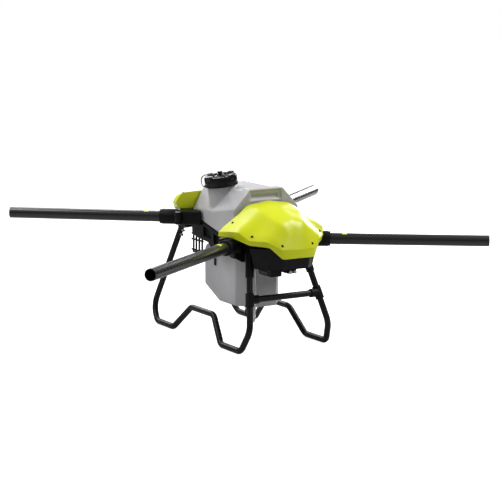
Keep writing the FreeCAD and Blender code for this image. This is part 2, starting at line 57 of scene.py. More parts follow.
# camera: a long lens in front of the nose and to its left, a little above the tank
CAMERA_AT = Vector((-2.805, -4.578, 1.190))
CAMERA_TARGET = Vector((0.0, -0.0375, 0.3143))
CAMERA_ROLL = 0.28          # degrees
CAMERA_LENS = 110.0         # mm


# ---------------------------------------------------------------- node materials
class Surface:
    """A node material with short names for what most surfaces here need."""

    def __init__(self, name, roughness, metallic=0.0, **sockets):
        self.material = bpy.data.materials.new(name)
        self.material.use_nodes = True
        self.tree = self.material.node_tree
        self.shader = self.tree.nodes["Principled BSDF"]
        self.place = self.tree.nodes.new("ShaderNodeTexCoord").outputs["Object"]
        self.shader.inputs["Roughness"].default_value = roughness
        self.shader.inputs["Metallic"].default_value = metallic
        for socket, value in sockets.items():
            self.shader.inputs[socket.replace("_", " ")].default_value = value
        self.height = None

    def node(self, kind, **settings):
        made = self.tree.nodes.new(kind)
        for key, value in settings.items():
            setattr(made, key, value)
        return made

    def link(self, output, socket):
        self.tree.links.new(output, socket)

    def stretched(self, scale, turn=0.0):
        """The object's coordinates, turned about Z and scaled unevenly."""
        mapping = self.node("ShaderNodeMapping", vector_type="POINT")
        mapping.inputs["Scale"].default_value = scale
        mapping.inputs["Rotation"].default_value = (0, 0, turn)
        self.link(self.place, mapping.inputs["Vector"])
        return mapping.outputs["Vector"]

    def noise(self, scale, detail=3.0, vector=None):
        made = self.node("ShaderNodeTexNoise")
        made.inputs["Scale"].default_value = scale
        made.inputs["Detail"].default_value = detail
        self.link(vector or self.place, made.inputs["Vector"])
        return made.outputs["Fac"]

    def cells(self, scale):
        made = self.node("ShaderNodeTexVoronoi")
        made.inputs["Scale"].default_value = scale
        self.link(self.place, made.inputs["Vector"])
        return made.outputs["Distance"]

    def math(self, operation, first, second=None, third=None):
        made = self.node("ShaderNodeMath", operation=operation)
        for socket, value in zip(made.inputs, (first, second, third)):
            if isinstance(value, (int, float)):
                socket.default_value = value
            elif value is not None:
                self.link(value, socket)
        return made.outputs["Value"]

    def ramp(self, factor, stops):
        """A value turned into colours: stops are (position, colour)."""
        made = self.node("ShaderNodeValToRGB")
        elements = made.color_ramp.elements
        while len(elements) < len(stops):
            elements.new(0.5)
        for element, (position, colour) in zip(elements, stops):
            element.position = position
            element.color = (*colour, 1)
        self.link(factor, made.inputs["Fac"])
        return made.outputs["Color"]

    def colour(self, output):
        self.link(output, self.shader.inputs["Base Color"])

    def mottled(self, low, high, scale, detail=3.0):
        """Base colour that drifts between two near tones."""
        self.colour(self.ramp(self.noise(scale, detail), [(0.3, low), (0.7, high)]))

    def rough(self, factor, low, high):
        spread = self.node("ShaderNodeMapRange")
        spread.inputs["From Min"].default_value = 0.3
        spread.inputs["From Max"].default_value = 0.7
        spread.inputs["To Min"].default_value = low
        spread.inputs["To Max"].default_value = high
        self.link(factor, spread.inputs["Value"])
        self.link(spread.outputs["Result"], self.shader.inputs["Roughness"])

    def bump(self, height, strength, depth):
        """Adds relief of that depth in metres on top of any relief before it."""
        made = self.node("ShaderNodeBump")
        made.inputs["Strength"].default_value = strength
        made.inputs["Distance"].default_value = depth
        self.link(height, made.inputs["Height"])
        if self.height is not None:
            self.link(self.height, made.inputs["Normal"])
        self.height = made.outputs["Normal"]
        self.link(self.height, self.shader.inputs["Normal"])


CARBON_TOW = 0.0025         # width of one strand of the weave (m)
FLOOR_GLOW = 0.88           # how brightly the floor shows itself to the camera


def yellow_plastic():
    s = Surface("yellow_plastic", 0.34, Coat_Weight=0.12, Coat_Roughness=0.14,
                Specular_IOR_Level=0.35)
    s.mottled((0.60, 0.66, 0.003), (0.65, 0.71, 0.005), 9.0)
    s.rough(s.noise(60.0, 4.0), 0.30, 0.40)
    s.bump(s.noise(420.0, 2.0), 0.12, 0.0002)
    s.bump(s.noise(5.0, 1.0), 0.10, 0.002)
    return s.material


def tank_plastic():
    s = Surface("tank_plastic", 0.42, Subsurface_Weight=0.25, Subsurface_Scale=0.02, IOR=1.50)
    s.mottled((0.40, 0.40, 0.41), (0.46, 0.46, 0.47), 7.0)
    s.rough(s.noise(35.0, 4.0), 0.36, 0.50)
    s.bump(s.noise(260.0, 3.0), 0.15, 0.0003)
    s.bump(s.noise(11.0, 1.0), 0.12, 0.002)
    return s.material


def black_nylon():
    s = Surface("black_nylon", 0.46, Specular_IOR_Level=0.16)
    s.mottled((0.0040, 0.0040, 0.0045), (0.0065, 0.0065, 0.0072), 40.0, 5.0)
    s.rough(s.noise(90.0, 3.0), 0.40, 0.54)
    s.bump(s.cells(900.0), 0.18, 0.00025)
    return s.material


def cap_nylon():
    s = Surface("cap_nylon", 0.30, Specular_IOR_Level=0.30)
    s.mottled((0.0035, 0.0035, 0.0040), (0.0060, 0.0060, 0.0066), 50.0, 4.0)
    s.rough(s.noise(110.0, 3.0), 0.24, 0.36)
    s.bump(s.cells(1100.0), 0.10, 0.00015)
    return s.material


def black_metal():
    s = Surface("black_metal", 0.30, Specular_IOR_Level=0.22)
    s.mottled((0.0055, 0.0055, 0.006), (0.0095, 0.0095, 0.0105), 25.0)
    s.rough(s.noise(70.0, 4.0), 0.26, 0.38)
    s.bump(s.noise(700.0, 2.0), 0.15, 0.00015)
    return s.material


def carbon_tube(sweep):
    """Twill-woven carbon under a clear coat, for an arm that lies at sweep radians about Z."""
    s = Surface("carbon_tube", 0.24, Specular_IOR_Level=0.35, Coat_Weight=0.25, Coat_Roughness=0.10)
    turned = s.stretched((1, 1, 1), -sweep)
    axes = s.node("ShaderNodeSeparateXYZ")
    s.link(turned, axes.inputs["Vector"])
    along = s.math("MULTIPLY", axes.outputs["X"], 1 / CARBON_TOW)
    across = s.math("MULTIPLY", axes.outputs["Z"], 1 / CARBON_TOW)
    weave = s.math("SINE", s.math("MULTIPLY", s.math("ADD", along, across), math.pi / 2))
    fibre = s.noise(1.0, 2.0, s.stretched((120, 1800, 1800), -sweep))
    tone = s.math("MULTIPLY_ADD", weave, 0.18, fibre)
    s.colour(s.ramp(tone, [(0.30, (0.006, 0.006, 0.0065)), (0.75, (0.024, 0.024, 0.026))]))
    s.rough(tone, 0.20, 0.34)
    s.bump(weave, 0.20, 0.0001)
    return s.material


def mark_yellow():
    s = Surface("mark_yellow", 0.35)
    worn = s.noise(220.0, 5.0)
    s.colour(s.ramp(worn, [(0.28, (0.30, 0.26, 0.01)), (0.40, (0.78, 0.80, 0.02))]))
    s.bump(worn, 0.1, 0.0001)
    return s.material


def brushed_steel():
    s = Surface("brushed_steel", 0.32, metallic=1.0)
    lines = s.noise(1.0, 3.0, s.stretched((300, 300, 4000)))
    s.colour(s.ramp(lines, [(0.3, (0.34, 0.34, 0.35)), (0.7, (0.62, 0.62, 0.63))]))
    s.rough(lines, 0.24, 0.42)
    s.bump(lines, 0.12, 0.00005)
    return s.material


def black_screw():
    s = Surface("black_screw", 0.36, metallic=0.9)
    s.mottled((0.010, 0.010, 0.011), (0.03, 0.03, 0.032), 500.0)
    s.bump(s.noise(900.0), 0.1, 0.00005)
    return s.material


def black_rubber():
    s = Surface("black_rubber", 0.75, Specular_IOR_Level=0.25)
    s.mottled((0.008, 0.008, 0.008), (0.018, 0.018, 0.018), 60.0, 6.0)
    s.bump(s.noise(500.0, 5.0), 0.3, 0.0002)
    return s.material


def clear_hose():
    s = Surface("clear_hose", 0.12, Transmission_Weight=0.75, IOR=1.42)
    s.mottled((0.80, 0.82, 0.80), (0.92, 0.93, 0.92), 30.0)
    s.bump(s.noise(150.0), 0.08, 0.0002)
    return s.material


def circuit_board():
    s = Surface("circuit_board", 0.4)
    tracks = s.node("ShaderNodeTexBrick")
    tracks.inputs["Scale"].default_value = 90.0
    tracks.inputs["Mortar Size"].default_value = 0.03
    tracks.inputs["Color1"].default_value = (0.004, 0.05, 0.02, 1)
    tracks.inputs["Color2"].default_value = (0.006, 0.07, 0.028, 1)
    tracks.inputs["Mortar"].default_value = (0.02, 0.16, 0.07, 1)
    s.link(s.place, tracks.inputs["Vector"])
    s.colour(tracks.outputs["Color"])
    s.bump(tracks.outputs["Fac"], 0.3, 0.0001)
    return s.material


def floor_paint():
    s = Surface("floor_paint", 0.85)
    s.mottled((0.46, 0.46, 0.46), (0.49, 0.49, 0.49), 1.5)
    s.shader.inputs["Emission Color"].default_value = (1, 1, 1, 1)
    rays = s.node("ShaderNodeLightPath")
    glow = s.math("MULTIPLY", rays.outputs["Is Camera Ray"], FLOOR_GLOW)
    s.link(glow, s.shader.inputs["Emission Strength"])
    return s.material


YELLOW = yellow_plastic()
TANK = tank_plastic()
NYLON = black_nylon()
CAP_NYLON = cap_nylon()
METAL = black_metal()
STEEL = brushed_steel()
SCREW = black_screw()
RUBBER = black_rubber()
# the arm tubes are not listed here: each has a weave of its own, laid along its arm
SLOT_MATERIALS = {
    "yellow_shell": YELLOW,
    "tank_plastic": TANK,
    "black_nylon": NYLON,
    "black_metal": METAL,
    "steel": STEEL,
    "rubber_black": RUBBER,
    "hose": clear_hose(),
    "mark_yellow": mark_yellow(),
    "circuit": circuit_board(),
}


# ---------------------------------------------------------------- mesh helpers
def new_piece(name, work, material, smooth_angle=35.0):
    """A mesh object from a bmesh, smooth-shaded but for edges sharper than the angle."""
    mesh = bpy.data.meshes.new(name)
    work.to_mesh(mesh)
    work.free()
    mesh.materials.append(material)
    mesh.shade_smooth()
    mesh.set_sharp_from_angle(angle=math.radians(smooth_angle))
    piece = bpy.data.objects.new(name, mesh)
    bpy.context.scene.collection.objects.link(piece)
    return piece


def applied(piece):
    """Turns the piece's modifiers into its mesh."""
    bpy.context.view_layer.update()
    finished = piece.evaluated_get(bpy.context.evaluated_depsgraph_get())
    mesh = bpy.data.meshes.new_from_object(finished)
    piece.modifiers.clear()
    piece.data = mesh
    return piece


def stands_for(piece, *nodes):
    """The piece takes the place and the body of one or more CAD nodes, whose own pieces are hidden."""
    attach(piece, BODY_OF[nodes[0]])
    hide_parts(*nodes)
    return piece


def belongs(piece, body):
    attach(piece, body)
    return piece


def bevelled(piece, width, angle=30.0):
    """Rounds the edges that are sharper than the angle."""
    edges = piece.modifiers.new("edges", "BEVEL")
    edges.width = width
    edges.segments = 2
    edges.limit_method = "ANGLE"
    edges.angle_limit = math.radians(angle)
    edges.harden_normals = False
    return piece


def flat_shaded(piece):
    """Leaves wide faces flat, so that only the rounded edges between them catch the light."""
    normals = piece.modifiers.new("normals", "WEIGHTED_NORMAL")
    normals.keep_sharp = False
    normals.weight = 60
    return piece


def clean_copy(node):
    """The CAD piece as a bmesh, with its flat faces whole again."""
    work = bmesh.new()
    work.from_mesh(NODES[node].data)
    bmesh.ops.remove_doubles(work, verts=work.verts, dist=1e-6)
    bmesh.ops.dissolve_limit(work, angle_limit=math.radians(0.5),
                             verts=work.verts, edges=work.edges)
    return work


def softened(node, material, width):
    """The CAD piece with its hard edges rounded, as moulding and casting leave them."""
    piece = new_piece(node + "_finished", clean_copy(node), material, 30.0)
    return stands_for(flat_shaded(bevelled(piece, width)), node)


def scaled(place):
    """The placement for shapes that are drawn in millimetres."""
    return place @ Matrix.Scale(MM, 4)


def frame_on(at, direction):
    """A placement whose Z axis is the direction."""
    return Matrix.Translation(at) @ direction.to_track_quat("Z", "Y").to_matrix().to_4x4()


def circle(radius, steps):
    """Points round a circle, from the +X side."""
    turns = (2 * math.pi * k / steps for k in range(steps))
    return [(radius * math.cos(a), radius * math.sin(a)) for a in turns]


def lathe(work, profile, place, steps=48):
    """Adds a turned shape to the bmesh: profile is (radius, height) from its start to its end."""
    rings = []
    for radius, height in profile:
        around = [(0, 0)] if radius < 1e-7 else circle(radius, steps)
        rings.append([work.verts.new(place @ Vector((x, y, height))) for x, y in around])
    for low, high in zip(rings, rings[1:]):
        for k in range(steps):
            n = (k + 1) % steps
            if len(low) == 1 and len(high) == 1:
                continue
            if len(low) == 1:
                work.faces.new((low[0], high[n], high[k]))
            elif len(high) == 1:
                work.faces.new((low[k], low[n], high[0]))
            else:
                work.faces.new((low[k], low[n], high[n], high[k]))


def add_part(work, part, name):
    """Adds one bmesh to another."""
    mesh = bpy.data.meshes.new(name)
    part.to_mesh(mesh)
    part.free()
    work.from_mesh(mesh)
    bpy.data.meshes.remove(mesh)


def add_bar(work, place, low, high, round_off):
    """Adds a block with its edges cut back by round_off."""
    part = bmesh.new()
    size = Vector(high) - Vector(low)
    middle = (Vector(high) + Vector(low)) / 2
    block = Matrix.Translation(middle) @ Matrix.Diagonal((*size, 1))
    bmesh.ops.create_cube(part, size=1.0, matrix=block)
    bmesh.ops.bevel(part, geom=part.edges[:], offset=round_off, segments=2, affect="EDGES",
                    profile=0.5)
    bmesh.ops.transform(part, matrix=place, verts=part.verts)
    add_part(work, part, "bar")


# ---------------------------------------------------------------- covers
# half columns from the wing tip round to the nose (mm): lip edge, crease, ridge, shoulder bulge
FRONT_COVER = [
    ((203, -160, 396), (201, -160, 411), (0, -151, 504), 27),
    ((178, -205, 394), (185, -203, 415), (0, -188, 497), 26),
    ((166, -242, 386), (171, -240, 415), (0, -225, 489), 22),
    ((145, -273, 374), (150, -274, 391), (0, -262, 477), 22),
    ((98, -322, 368), (105, -321, 387), (0, -298, 459), 16),
    ((62, -348, 331.5), (63, -348, 362), (0, -320, 435), 8),
    ((0, -352, 331.5), (0, -352, 360), (0, -335, 402), 0),
]
REAR_COVER = [
    ((188, 143, 454), (200, 141, 478), (0, 141, 516), 25),
    ((180, 176, 454), (189, 176, 475), (0, 180, 513), 23),
    ((166, 214, 446), (172, 214, 470), (0, 215, 506), 20),
    ((142, 246, 438), (147, 246, 461), (0, 250, 496), 16),
    ((104, 288, 429), (109, 287, 453), (0, 283, 480), 10),
    ((60, 313, 412), (63, 309, 438), (0, 304, 464), 5),
    ((0, 315, 412), (0, 312, 436), (0, 310, 450), 0),
]
# across a column, from the crease (0) to the ridge (1), and the share of the bulge at each point
FRONT_ACROSS = [(0.13, 0.30), (0.29, 0.48), (0.43, 0.70), (0.58, 1.0), (0.80, 0.50)]
REAR_ACROSS = [(0.05, 0.55), (0.13, 1.0), (0.35, 0.82), (0.60, 0.50), (0.80, 0.25)]
COVER_WALL, CREASE_ROUND, COVER_EDGE = 3.0 * MM, 1.6 * MM, 0.9 * MM
COLUMN_STEPS, ROW_STEPS = 6, 4
RIM_TENSION, SKIN_TENSION = 0.55, 0.1       # 1 is straight runs, 0 a full spline
SKIN_ROUNDS = 3                             # how many times the skin is relaxed
# slot in the rear cover, seen from above (mm), and how far up and down the cut reaches
VENT = [(101, 155), (107, 150), (130, 176), (124, 181)]
VENT_LOW, VENT_HIGH = 440, 540


def cover_columns(columns, across):
    """The points up each half column, in metres: lip, crease, shoulder and ridge."""
    grid = []
    for lip, crease, ridge, bulge in columns:
        low, high = Vector(crease), Vector(ridge)
        column = [Vector(lip), low]
        column += [low.lerp(high, place) + UP * bulge * share for place, share in across]
        grid.append([point * MM for point in column + [high]])
    return grid


def flipped(point):
    """The point's mirror image on the other side of the object."""
    return Vector((-point.x, point.y, point.z))


def flowing(points, before, after, steps, tension):
    """Points along a cardinal spline through the given points, with a ghost point at each end."""
    chain = [before] + points + [after]
    out = []
    for i in range(1, len(chain) - 2):
        p, q = chain[i], chain[i + 1]
        leave = (q - chain[i - 1]) * (0.5 * (1 - tension))
        arrive = (chain[i + 2] - p) * (0.5 * (1 - tension))
        for k in range(steps):
            t = k / steps
            out.append(p * (2 * t**3 - 3 * t**2 + 1) + leave * (t**3 - 2 * t**2 + t)
                       + q * (3 * t**2 - 2 * t**3) + arrive * (t**3 - t**2))
    return out + [points[-1]]


def cover_skin(columns, across, closed_front):
    """The cover's outer skin, both halves, with its crease marked for rounding."""
    grid = cover_columns(columns, across)
    rows = list(zip(*grid))
    dense_rows = []
    for row in rows:
        row = list(row)
        tension = RIM_TENSION if len(dense_rows) < 2 else SKIN_TENSION
        before, after = row[0] * 2 - row[1], flipped(row[-2])
        dense_rows.append(flowing(row, before, after, COLUMN_STEPS, tension))
    work = bmesh.new()
    weight = work.edges.layers.float.new("bevel_weight_edge")
    columns_out = []
    for column in zip(*dense_rows):
        upper = list(column[1:])
        before, after = upper[0] * 2 - upper[1], flipped(upper[-2])
        upper = flowing(upper, before, after, ROW_STEPS, SKIN_TENSION)
        columns_out.append([column[0], column[0].lerp(column[1], 0.5)] + upper)
    for mirror in (False, True):
        verts = [[work.verts.new(flipped(p) if mirror else p) for p in column]
                 for column in columns_out]
        for i in range(len(verts) - 1):
            for j in range(len(verts[0]) - 1):
                corners = [verts[i][j], verts[i + 1][j], verts[i + 1][j + 1], verts[i][j + 1]]
                work.faces.new(corners[::-1] if mirror else corners)
        for i in range(len(verts) - 1):
            work.edges.get((verts[i][2], verts[i + 1][2]))[weight] = 1.0
    if closed_front:
        front = [v.co.copy() for v in verts[0]]
        loop = [work.verts.new(flipped(p)) for p in front]
        loop += [work.verts.new(p) for p in front[-2::-1]]
        work.faces.new(loop)
    bmesh.ops.remove_doubles(work, verts=work.verts, dist=1e-5)
    flat = [face for face in work.faces if face.calc_area() < 1e-10]
    bmesh.ops.delete(work, geom=flat, context="FACES")
    skin = [vert for vert in work.verts if not vert.is_boundary
            and not any(edge[weight] for edge in vert.link_edges)
            and all(len(face.verts) <= 4 for face in vert.link_faces)]
    for _ in range(SKIN_ROUNDS):
        bmesh.ops.smooth_vert(work, verts=skin, factor=0.5,
                              use_axis_x=True, use_axis_y=True, use_axis_z=True)
    bmesh.ops.recalc_face_normals(work, faces=work.faces)
    top = max(work.faces, key=lambda face: face.calc_center_median().z)
    if top.normal.z < 0:
        bmesh.ops.reverse_faces(work, faces=work.faces)
    return work


def cut_slots(piece, outline, low, high):
    """Cuts an upright slot through the piece, and its mirror image on the other side."""
    work = bmesh.new()
    for sign in (1, -1):
        bottom, top = [[work.verts.new(Vector((sign * x, y, z)) * MM) for x, y in outline]
                       for z in (low, high)]
        work.faces.new(bottom)
        work.faces.new(top)
        for k in range(len(outline)):
            n = (k + 1) % len(outline)
            work.faces.new((bottom[k], bottom[n], top[n], top[k]))
    bmesh.ops.recalc_face_normals(work, faces=work.faces)
    cutter = new_piece("cutter", work, YELLOW)
    slots = piece.modifiers.new("slots", "BOOLEAN")
    slots.operation = "DIFFERENCE"
    slots.object = cutter
    applied(piece)
    bpy.data.objects.remove(cutter)


def make_cover(name, columns, across, closed_front):
    """A thin moulded cover with a rounded crease; the closed-front one also has the two vents."""
    piece = new_piece(name + "_shell", cover_skin(columns, across, closed_front), YELLOW, 60.0)
    crease = piece.modifiers.new("crease", "BEVEL")
    crease.limit_method = "WEIGHT"
    crease.width = CREASE_ROUND
    crease.segments = 2
    wall = piece.modifiers.new("wall", "SOLIDIFY")
    wall.thickness = COVER_WALL
    wall.offset = -1
    wall.use_even_offset = False
    if closed_front:
        cut_slots(piece, VENT, VENT_LOW, VENT_HIGH)
    bevelled(piece, COVER_EDGE, angle=50.0)
    flat_shaded(piece)
    return stands_for(piece, name)


# ---------------------------------------------------------------- fasteners
def loose_parts(node):
    """The points of each separate solid of a CAD node."""
    work = bmesh.new()
    work.from_mesh(NODES[node].data)
    bmesh.ops.remove_doubles(work, verts=work.verts, dist=1e-6)
    left = set(work.verts)
    parts = []
    while left:
        stack = [left.pop()]
        group = []
        while stack:
            vert = stack.pop()
            group.append(vert.co.copy())
            for edge in vert.link_edges:
                other = edge.other_vert(vert)
                if other in left:
                    left.remove(other)
                    stack.append(other)
        parts.append(group)
    work.free()
    return parts


def long_axis(points):
    """The middle, the unit direction and the half length of a long thin solid."""
    cloud = np.array([list(p) for p in points])
    middle = cloud.mean(0)
    direction = np.linalg.svd(cloud - middle)[2][0]
    reach = (cloud - middle) @ direction
    return Vector(middle), Vector(direction), (reach.max() - reach.min()) / 2


SCREW_HEAD_RADIUS = 4.6 * MM
SCREW_HEAD_SUNK = 1.2 * MM          # how far below the CAD solid's end the head's seat lies


def screw_head(work, place, radius):
    """A button head with a socket in it; the placement's origin is on the surface under it."""
    height, socket, shank = radius * 0.62, radius * 0.5, radius * 0.55
    lathe(work, [
        (0, -radius), (shank, -radius), (shank, 0), (radius, 0), (radius, height * 0.25),
        (radius * 0.90, height * 0.62), (radius * 0.68, height * 0.90), (socket, height),
        (socket * 0.94, height * 0.35), (0, height * 0.35),
    ], place, 24)


def make_screws(node, radius, outward_from):
    """Cap screws over each solid of a CAD fastener node, heads facing away from a point."""
    work = bmesh.new()
    for points in loose_parts(node):
        middle, direction, half = long_axis(points)
        if direction.dot(middle - outward_from) < 0:
            direction = -direction
        seat = middle + direction * (half - SCREW_HEAD_SUNK)
        screw_head(work, frame_on(seat, direction), radius)
    bmesh.ops.remove_doubles(work, verts=work.verts, dist=1e-7)
    return stands_for(new_piece(node + "_heads", work, SCREW, 40.0), node)


# ---------------------------------------------------------------- tank
TANK_VOXEL = 2.6 * MM
TANK_ROUNDS = 14                    # how many times the joined skin is relaxed
TANK_HALF, TANK_TOP = 130, 538      # all tank sizes in mm
TANK_FRONT = -146
# along the tank: place, height of the side's top edge, half width of the roof's flat
TANK_STATIONS = [(TANK_FRONT, 480, 74), (0, 456, 80), (138, 456, 84)]
SADDLE_HEIGHT, SADDLE_RISE = 395.5, 0.2407      # the sloped line on which the tank sits
# the narrow lower part: a tapered nose, a middle and a tapered back, as outlines
WELL_HALF, WELL_FRONT, WELL_REAR = 90, -85, 78
WELL_FLOOR, WELL_TOP, WELL_BEND = 129, 450, 153.7
WELL_NOSE = [(42, TANK_FRONT), (WELL_HALF, WELL_FRONT)]
WELL_SIDE = [(WELL_FRONT, WELL_FLOOR), (25, WELL_FLOOR), (WELL_REAR, WELL_BEND),
             (WELL_REAR, WELL_TOP), (WELL_FRONT, WELL_TOP)]
WELL_BACK = [(WELL_REAR, WELL_BEND), (126, 176), (WELL_REAR, 340), (118, 321), (126, 312)]
WELL_BACK_END = [(78, 138, 189), (78, 138, 299)]
# the raised grip at the front of the roof: its foot, its top edge, and the finger hold in it
GRIP_REACH = (TANK_FRONT, -100)
GRIP_HALF, GRIP_HEIGHTS = 77, (500, 534)
GRIP_TOP_HALF, GRIP_TOP = 68, 546
RECESS = ((-68, -160, 508), (60, -132, 539), 1.4, 5.0)      # low, high, softness, depth
TROUGH = ((-60, -160, 513), (48, -132, 526), 1.6, 6.0)
CAP_FOOT = Vector((-84, 20, 545)) * MM
CAP_LEAN = math.radians(8)
CAP_PLACE = Matrix.Translation(CAP_FOOT) @ Matrix.Rotation(-CAP_LEAN, 4, "Y")
NECK_RADIUS, NECK_LOW, NECK_HIGH = 49, -78, 22      # heights along the cap's axis
NECK_FOOT_FLARE = 1.04


def add_hull(work, points):
    """Adds the smallest convex solid round the points."""
    part = bmesh.new()
    verts = [part.verts.new(Vector(p) * MM) for p in points]
    made = bmesh.ops.convex_hull(part, input=verts)
    inside = [item for item in made["geom_interior"] + made["geom_unused"]
              if isinstance(item, bmesh.types.BMVert)]
    bmesh.ops.delete(part, geom=list(set(inside)), context="VERTS")
    add_part(work, part, "hull")


def both_sides(points):
    return points + [(-x, y, z) for x, y, z in points]


def blown(work, name, material, voxel, rounds):
    """Joins overlapping solids into one skin with soft edges, as blow moulding leaves them."""
    piece = new_piece(name, work, material, 180.0)
    joined = piece.modifiers.new("joined", "REMESH")
    joined.mode = "VOXEL"
    joined.voxel_size = voxel
    relaxed = piece.modifiers.new("relaxed", "SMOOTH")
    relaxed.factor = 0.5
    relaxed.iterations = rounds
    applied(piece)
    if not piece.data.materials:
        piece.data.materials.append(material)
    piece.data.shade_smooth()
    return piece


def smooth_step(low, high, value):
    t = np.clip((value - low) / (high - low), 0.0, 1.0)
    return t * t * (3 - 2 * t)


def inside_box(coords, low, high, soft):
    """1 inside the box, 0 outside, with soft edges that wide."""
    share = np.ones(len(coords))
    for axis in range(3):
        share *= smooth_step(low[axis] - soft, low[axis] + soft, coords[:, axis])
        share *= 1 - smooth_step(high[axis] - soft, high[axis] + soft, coords[:, axis])
    return share


def saddle(y):
    """The height of the tank's shoulder where it sits on the side beams."""
    return SADDLE_HEIGHT + SADDLE_RISE * y


def tank_solids():
    """The overlapping solids that the tank is joined from."""
    work = bmesh.new()
    for sections in zip(TANK_STATIONS, TANK_STATIONS[1:]):
        points = []
        for y, side_z, top_half in sections:
            points += [(TANK_HALF, y, saddle(y)), (TANK_HALF, y, side_z), (top_half, y, TANK_TOP)]
        add_hull(work, both_sides(points))
    add_hull(work, both_sides([(x, y, z) for x, y in WELL_NOSE for z in (WELL_FLOOR, WELL_TOP)]))
    add_hull(work, both_sides([(WELL_HALF, y, z) for y, z in WELL_SIDE]))
    add_hull(work, both_sides([(WELL_HALF, y, z) for y, z in WELL_BACK] + WELL_BACK_END))
    ends = ((NECK_FOOT_FLARE, NECK_LOW), (1.0, NECK_HIGH))
    add_hull(work, [CAP_PLACE @ (Vector((x * wide, y * wide, z)) * MM) / MM
                    for x, y in circle(NECK_RADIUS, 64) for wide, z in ends])
    add_hull(work, both_sides([(GRIP_HALF, y, z) for y in GRIP_REACH for z in GRIP_HEIGHTS]
                              + [(GRIP_TOP_HALF, y, GRIP_TOP) for y in GRIP_REACH]))
    return work


def make_tank():
    """The blow-moulded tank, with a finger hold pressed into the grip at its front."""
    piece = blown(tank_solids(), "tank_body", TANK, TANK_VOXEL, TANK_ROUNDS)
    coords = np.zeros(len(piece.data.vertices) * 3, np.float32)
    piece.data.vertices.foreach_get("co", coords)
    coords = coords.reshape(-1, 3).astype(float)
    recess, trough = [depth * inside_box(coords / MM, low, high, soft)
                      for low, high, soft, depth in (RECESS, TROUGH)]
    coords[:, 1] += (recess + trough) * MM
    piece.data.vertices.foreach_set("co", coords.astype(np.float32).ravel())
    piece.data.update()
    return stands_for(piece, "tank")


# ---------------------------------------------------------------- filler cap
CAP_LUGS, CAP_LUG_TURN = 4, 14
CAP_RIBS = 48
# from the skirt's foot over the rim to the knob in the middle: radius and height (mm)
CAP_PROFILE = [
    (50, 6.6), (57.2, 6.6), (57.8, 8), (57.8, 12), (56.2, 13), (56.2, 31), (55.2, 34.5), (52, 36),
    (46, 36), (45, 34), (24, 33.2), (22, 34.5), (12, 35.5), (9.5, 40), (0, 40),
]


def make_cap():
    """The ribbed screw cap, with grip lugs on its rim and a pair of webs from each lug inwards."""
    work = bmesh.new()
    place = scaled(CAP_PLACE)
    lathe(work, CAP_PROFILE, place, 96)
    for k in range(CAP_RIBS):
        turn = Matrix.Rotation(2 * math.pi * k / CAP_RIBS, 4, "Z")
        add_bar(work, place @ turn, (55.6, -1.1, 14), (57.6, 1.1, 31), 0.5)
    for k in range(CAP_LUGS):
        turn = Matrix.Rotation(math.radians(360 / CAP_LUGS * k + CAP_LUG_TURN), 4, "Z")
        add_bar(work, place @ turn, (46.5, -9.5, 22.5), (59.5, 9.5, 39.5), 2.0)
        for side in (-7, 7):
            add_bar(work, place @ turn, (21, side - 1.5, 32.5), (48, side + 1.5, 36.5), 1.0)
    return stands_for(new_piece("tank_cap_finished", work, CAP_NYLON, 35.0), "tank_cap")


# out from the cap's axis and up along it (mm): from the neck ring, round the rim, to the knob
TETHER_PATH = [(59, 3), (64.5, 5), (68.5, 14), (68.5, 27), (65, 36),
               (57, 42.5), (44, 43.5), (27, 42.5), (11, 41.2)]
TETHER_TURN, TETHER_HALF_WIDTH, TETHER_THICK, TETHER_EDGE = 156, 4.0, 2.6, 0.4
TETHER_EYELET = [(7.2, 40.4), (12.5, 40.4), (12.5, 42.0), (7.2, 42.0), (7.2, 40.4)]


def make_tether():
    """The moulded strap that keeps the loose cap on the tank, with an eyelet round the knob."""
    work = bmesh.new()
    place = scaled(CAP_PLACE) @ Matrix.Rotation(math.radians(TETHER_TURN), 4, "Z")
    path = [Vector((out, 0, up)) for out, up in TETHER_PATH]
    line = flowing(path, path[0] * 2 - path[1], path[-1] * 2 - path[-2], 5, 0.0)
    rings = []
    for k, point in enumerate(line):
        run = (line[min(k + 1, len(line) - 1)] - line[max(k - 1, 0)]).normalized()
        off = Vector((-run.z, 0, run.x)) * (TETHER_THICK / 2)
        side = Vector((0, TETHER_HALF_WIDTH, 0))
        corners = (point + off + side, point - off + side, point - off - side, point + off - side)
        rings.append([work.verts.new(place @ corner) for corner in corners])
    for low, high in zip(rings, rings[1:]):
        for k in range(4):
            n = (k + 1) % 4
            work.faces.new((low[k], low[n], high[n], high[k]))
    work.faces.new(rings[0])
    work.faces.new(rings[-1])
    lathe(work, TETHER_EYELET, scaled(CAP_PLACE), 40)
    bmesh.ops.remove_doubles(work, verts=work.verts, dist=1e-7)
    bmesh.ops.recalc_face_normals(work, faces=work.faces)
    piece = bevelled(new_piece("cap_tether", work, CAP_NYLON), TETHER_EDGE * MM)
    belongs(piece, "tank_unit")


# ---------------------------------------------------------------- arms
def arm_frames():
    """Each arm's name, the direction of its tube and the middle of its locking sleeve."""
    for end in ("front", "rear"):
        for side, sign in (("left", -1), ("right", 1)):
            name = end + "_" + side
            joint = next(j for j in frame["joints"] if j["name"] == "sleeve_slide_" + name)
            axis = Vector(joint["axis"]).normalized()
            low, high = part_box("locking_sleeve_" + name)
            middle = (low + high) / 2
            yield name, axis, middle


SLEEVE_HALF, SLEEVE_FLUTES = 32.85, 20
# round the sleeve's wall: radius, and place along the tube (mm)
SLEEVE_PROFILE = [
    (23.3, -SLEEVE_HALF), (25.8, -SLEEVE_HALF), (27.3, -SLEEVE_HALF + 1.5), (27.3, -22),
    (26.2, -21), (26.2, 14), (27.3, 15.5), (27.3, 24), (26.0, 25), (26.0, SLEEVE_HALF - 1.2),
    (24.8, SLEEVE_HALF), (20.5, SLEEVE_HALF), (20.5, 22), (23.3, 22), (23.3, -SLEEVE_HALF),
]


